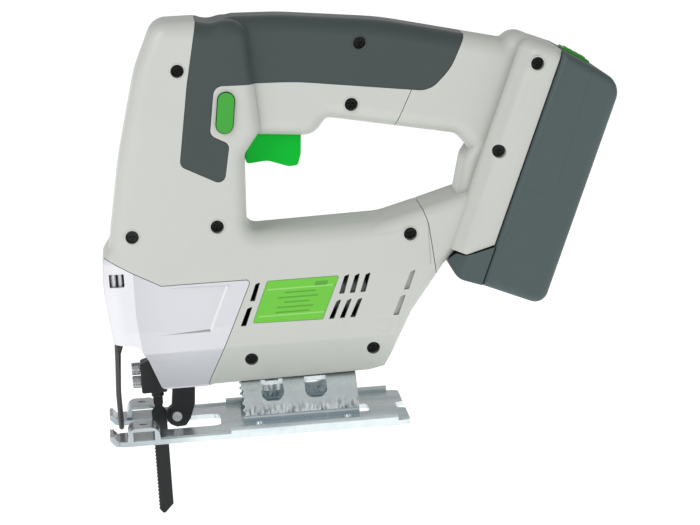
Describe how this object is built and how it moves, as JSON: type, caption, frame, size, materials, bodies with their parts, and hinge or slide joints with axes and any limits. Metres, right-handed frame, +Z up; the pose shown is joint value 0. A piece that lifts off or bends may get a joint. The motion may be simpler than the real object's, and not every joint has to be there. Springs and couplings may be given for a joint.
{
  "type": "cordless jigsaw",
  "caption": "Cordless jigsaw with bow handle, reciprocating blade drive, tilting base plate and slide-on battery.",
  "frame": {"origin": "middle of the base plate's sole, on the axis the bevel bracket tilts about", "axes": "+Z up out of the sole, -X towards the blade, +X towards the battery, +Y to the tool's right hand side"},
  "size_m": [0.2608, 0.08, 0.2478],
  "materials": {
    "body_plastic": "satin",
    "grip_rubber": "satin",
    "nose_paint": "satin",
    "wire_steel": "dull",
    "screw_steel": "satin",
    "label_print": "satin",
    "motor_steel": "satin",
    "magnet": "dull",
    "cap_plastic": "matte",
    "copper": "satin",
    "gear_steel": "oiled",
    "cast_frame": "cast",
    "bronze": "satin",
    "black_steel": "blackened",
    "zinc_plate": "zinc plated",
    "spring_steel": "satin",
    "trigger_green": "gloss",
    "button_green": "satin",
    "battery_plastic": "fine texture",
    "cell_can": "shrink film",
    "board": "solder mask"
  },
  "bodies": {
    "housing": {"front_left_shell": "body_plastic", "front_right_shell": "body_plastic", "rear_left_shell": "body_plastic", "rear_right_shell": "body_plastic", "left_grip": "grip_rubber", "right_grip": "grip_rubber", "nose_cover": "nose_paint", "nose_pins": "screw_steel", "wire_guard": "wire_steel", "housing_screws": "screw_steel", "label_plate": "label_print", "motor_can": "motor_steel", "motor_magnets": "magnet", "motor_end_cap": "cap_plastic", "front_bearing": "motor_steel", "gear_shaft": "motor_steel", "gear_frame": "cast_frame", "plunger_bushes": "bronze", "bevel_screw": "screw_steel", "clamp_plate": "zinc_plate", "switch_body": "cap_plastic", "trigger_spring": "spring_steel", "terminal_block": "cap_plastic", "arm_pivot": "screw_steel"},
    "rotor": {"rotor_core": "motor_steel", "commutator": "copper", "rotor_shaft": "motor_steel", "cooling_fan": "cap_plastic", "pinion": "gear_steel"},
    "crank_gear": {"drive_gear": "gear_steel", "crank_pin": "motor_steel"},
    "plunger": {"plunger_rod": "gear_steel", "yoke": "gear_steel", "blade_clamp": "black_steel", "clamp_screws": "screw_steel", "blade": "black_steel"},
    "back_up_arm": {"roller_arm": "black_steel", "roller_pin": "screw_steel"},
    "roller_body": {"roller": "black_steel"},
    "base": {"base_plate": "zinc_plate", "bevel_bracket": "zinc_plate", "bracket_rivets": "zinc_plate"},
    "trigger_body": {"trigger": "trigger_green"},
    "lock_body": {"lock_button": "button_green"},
    "battery": {"battery_case": "battery_plastic", "battery_rails": "battery_plastic", "battery_contacts": "copper", "battery_cells": "cell_can", "cell_strips": "copper", "battery_board": "board"},
    "latch_body": {"battery_latch": "button_green"}
  },
  "joints": [
    {"name": "rotor_turn", "type": "hinge", "parent": "housing", "child": "rotor", "pos_m": [0, 0, 0.062], "axis": [1, 0, 0], "range_deg": [-360, 360]},
    {"name": "gear_turn", "type": "hinge", "parent": "housing", "child": "crank_gear", "pos_m": [-0.033, 0, 0.087], "axis": [1, 0, 0], "range_deg": [-90, 90]},
    {"name": "plunger_stroke", "type": "slide", "parent": "housing", "child": "plunger", "axis": [0, 0, 1], "range_m": [-0.009, 0.009]},
    {"name": "bevel_tilt", "type": "hinge", "parent": "housing", "child": "base", "pos_m": [0, 0, 0], "axis": [1, 0, 0], "range_deg": [-45, 45]},
    {"name": "arm_swing", "type": "hinge", "parent": "housing", "child": "back_up_arm", "pos_m": [-0.032, 0, 0.032], "axis": [0, 1, 0], "range_deg": [-6, 0]},
    {"name": "roller_spin", "type": "hinge", "parent": "back_up_arm", "child": "roller_body", "pos_m": [-0.0401, 0, 0.0066], "axis": [0, 1, 0], "continuous": true},
    {"name": "trigger_pull", "type": "slide", "parent": "housing", "child": "trigger_body", "axis": [0, 0, 1], "range_m": [0, 0.006], "stiffness_N_per_m": 600, "springref_m": -0.002, "deforming": ["trigger_spring"]},
    {"name": "lock_button_push", "type": "slide", "parent": "housing", "child": "lock_body", "axis": [0, 1, 0], "range_m": [0, 0.004], "stiffness_N_per_m": 400, "springref_m": -0.002},
    {"name": "battery_slide", "type": "slide", "parent": "housing", "child": "battery", "axis": [-0.3907, 0, -0.9205], "range_m": [0, 0.04]},
    {"name": "latch_press", "type": "slide", "parent": "battery", "child": "latch_body", "axis": [-0.3907, 0, -0.9205], "range_m": [0, 0.003], "stiffness_N_per_m": 400, "springref_m": -0.002}
  ],
  "couplings": [
    {"joint": "gear_turn", "follows": "rotor_turn", "ratio": -0.25},
    {"joint": "plunger_stroke", "follows": "rotor_turn", "m_per_rad": -0.0014324}
  ]
}
